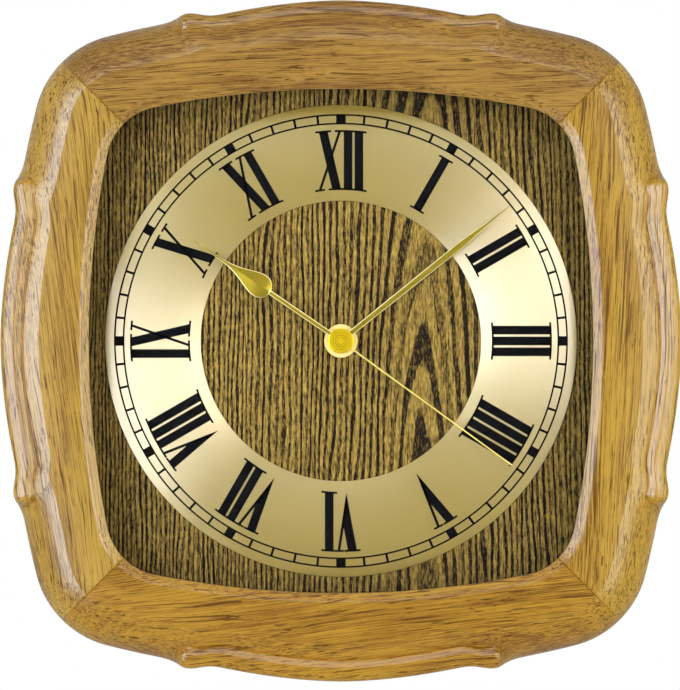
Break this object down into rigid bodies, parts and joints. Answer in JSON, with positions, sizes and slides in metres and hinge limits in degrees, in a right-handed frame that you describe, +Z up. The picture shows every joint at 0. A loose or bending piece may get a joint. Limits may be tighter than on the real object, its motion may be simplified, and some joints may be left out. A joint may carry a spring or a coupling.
{
  "type": "radio-controlled wall clock",
  "caption": "Square wall clock with a carved, mitred oak frame, glass, wood veneer dial with a gold chapter ring, three hands and a radio-controlled quartz movement hung on a keyhole plate.",
  "frame": {"origin": "where the wall screw carries the keyhole of the hanger plate, on the wall plane", "axes": "+Z up, -Y out of the wall towards the viewer, +X to the viewer's right"},
  "size_m": [0.3204, 0.0519, 0.3204],
  "materials": {
    "oak": "satin lacquered oak",
    "glass": "clear float glass",
    "fibre": "dark fibreboard",
    "veneer": "dark oak veneer",
    "gold_aluminium": "circular brushed, gold anodised",
    "brass": "polished",
    "steel": "plain",
    "zinc": "zinc plated",
    "black_plastic": "moulded",
    "white_plastic": "moulded",
    "rubber": "matt",
    "ferrite": "sintered",
    "copper": "enamelled winding",
    "circuit": "solder mask",
    "cell": "plain wrapped cell"
  },
  "bodies": {
    "clock_case": {"frame_rail_top": "oak", "frame_rail_left": "oak", "frame_rail_bottom": "oak", "frame_rail_right": "oak", "hanger_plate": "zinc", "hanger_screw_left": "zinc", "hanger_screw_right": "zinc", "glass_pane": "glass", "spacer_frame": "fibre", "dial_board": "veneer", "chapter_ring": "gold_aluminium", "dial_screw_top": "steel", "dial_screw_left": "steel", "dial_screw_bottom": "steel", "dial_screw_right": "steel", "rubber_washer": "rubber", "fixing_washer": "brass", "central_nut": "brass", "movement_front_case": "black_plastic", "movement_rear_cover": "black_plastic", "mid_plate": "white_plastic", "rear_bridge": "white_plastic", "seconds_motor_stator": "steel", "seconds_motor_coil": "copper", "minute_motor_stator": "steel", "minute_motor_coil": "copper", "circuit_board": "circuit", "ferrite_rod": "ferrite", "antenna_coil": "copper", "quartz_crystal": "steel", "battery_contact_positive": "steel", "battery_contact_negative": "steel"},
    "seconds_assembly": {"second_hand": "brass", "second_hand_cap": "brass", "seconds_wheel": "white_plastic"},
    "seconds_train": {"seconds_train_wheel": "white_plastic"},
    "seconds_rotor": {"seconds_rotor": "steel"},
    "minutes_assembly": {"minute_hand": "brass", "minute_hand_collet": "brass", "centre_wheel": "white_plastic"},
    "minute_slow": {"minute_slow_wheel": "white_plastic"},
    "minute_fast": {"minute_fast_wheel": "white_plastic"},
    "minute_rotor": {"minute_rotor": "steel"},
    "motion_work": {"motion_wheel": "white_plastic"},
    "hours_assembly": {"hour_hand": "brass", "hour_hand_collet": "brass", "hour_wheel": "white_plastic"},
    "set_button": {"set_button": "white_plastic"},
    "reset_button": {"reset_button": "white_plastic"},
    "receive_button": {"receive_button": "white_plastic"},
    "battery": {"battery": "cell"}
  },
  "joints": [
    {"name": "second_spin", "type": "hinge", "parent": "clock_case", "child": "seconds_assembly", "pos_m": [0, -0.039, -0.147], "axis": [0, 1, 0], "continuous": true},
    {"name": "seconds_train_spin", "type": "hinge", "parent": "clock_case", "child": "seconds_train", "pos_m": [-0.00727, -0.0124, -0.1428], "axis": [0, 1, 0], "continuous": true},
    {"name": "seconds_rotor_spin", "type": "hinge", "parent": "clock_case", "child": "seconds_rotor", "pos_m": [-0.01447, -0.0144, -0.1428], "axis": [0, 1, 0], "continuous": true},
    {"name": "minute_spin", "type": "hinge", "parent": "clock_case", "child": "minutes_assembly", "pos_m": [0, -0.0369, -0.147], "axis": [0, 1, 0], "continuous": true},
    {"name": "minute_slow_spin", "type": "hinge", "parent": "clock_case", "child": "minute_slow", "pos_m": [0.00727, -0.0151, -0.1428], "axis": [0, 1, 0], "continuous": true},
    {"name": "minute_fast_spin", "type": "hinge", "parent": "clock_case", "child": "minute_fast", "pos_m": [0.01567, -0.0114, -0.1428], "axis": [0, 1, 0], "continuous": true},
    {"name": "minute_rotor_spin", "type": "hinge", "parent": "clock_case", "child": "minute_rotor", "pos_m": [0.02287, -0.0144, -0.1428], "axis": [0, 1, 0], "continuous": true},
    {"name": "motion_spin", "type": "hinge", "parent": "clock_case", "child": "motion_work", "pos_m": [0, -0.0208, -0.1534], "axis": [0, 1, 0], "continuous": true},
    {"name": "hour_spin", "type": "hinge", "parent": "clock_case", "child": "hours_assembly", "pos_m": [0, -0.0343, -0.147], "axis": [0, 1, 0], "continuous": true},
    {"name": "set_press", "type": "slide", "parent": "clock_case", "child": "set_button", "axis": [0, -1, 0], "range_m": [0, 0.0008], "stiffness_N_per_m": 500, "springref_m": -0.0006},
    {"name": "reset_press", "type": "slide", "parent": "clock_case", "child": "reset_button", "axis": [0, -1, 0], "range_m": [0, 0.0008], "stiffness_N_per_m": 500, "springref_m": -0.0006},
    {"name": "receive_press", "type": "slide", "parent": "clock_case", "child": "receive_button", "axis": [0, -1, 0], "range_m": [0, 0.0008], "stiffness_N_per_m": 500, "springref_m": -0.0006},
    {"name": "battery_out", "type": "slide", "parent": "clock_case", "child": "battery", "axis": [0, 1, 0], "range_m": [0, 0.022]}
  ],
  "couplings": [
    {"joint": "seconds_train_spin", "follows": "second_spin", "ratio": -6},
    {"joint": "seconds_rotor_spin", "follows": "second_spin", "ratio": 30},
    {"joint": "minute_slow_spin", "follows": "minute_spin", "ratio": -6},
    {"joint": "minute_fast_spin", "follows": "minute_spin", "ratio": 36},
    {"joint": "minute_rotor_spin", "follows": "minute_spin", "ratio": -180},
    {"joint": "motion_spin", "follows": "minute_spin", "ratio": -0.33333},
    {"joint": "hour_spin", "follows": "minute_spin", "ratio": 0.083333}
  ]
}
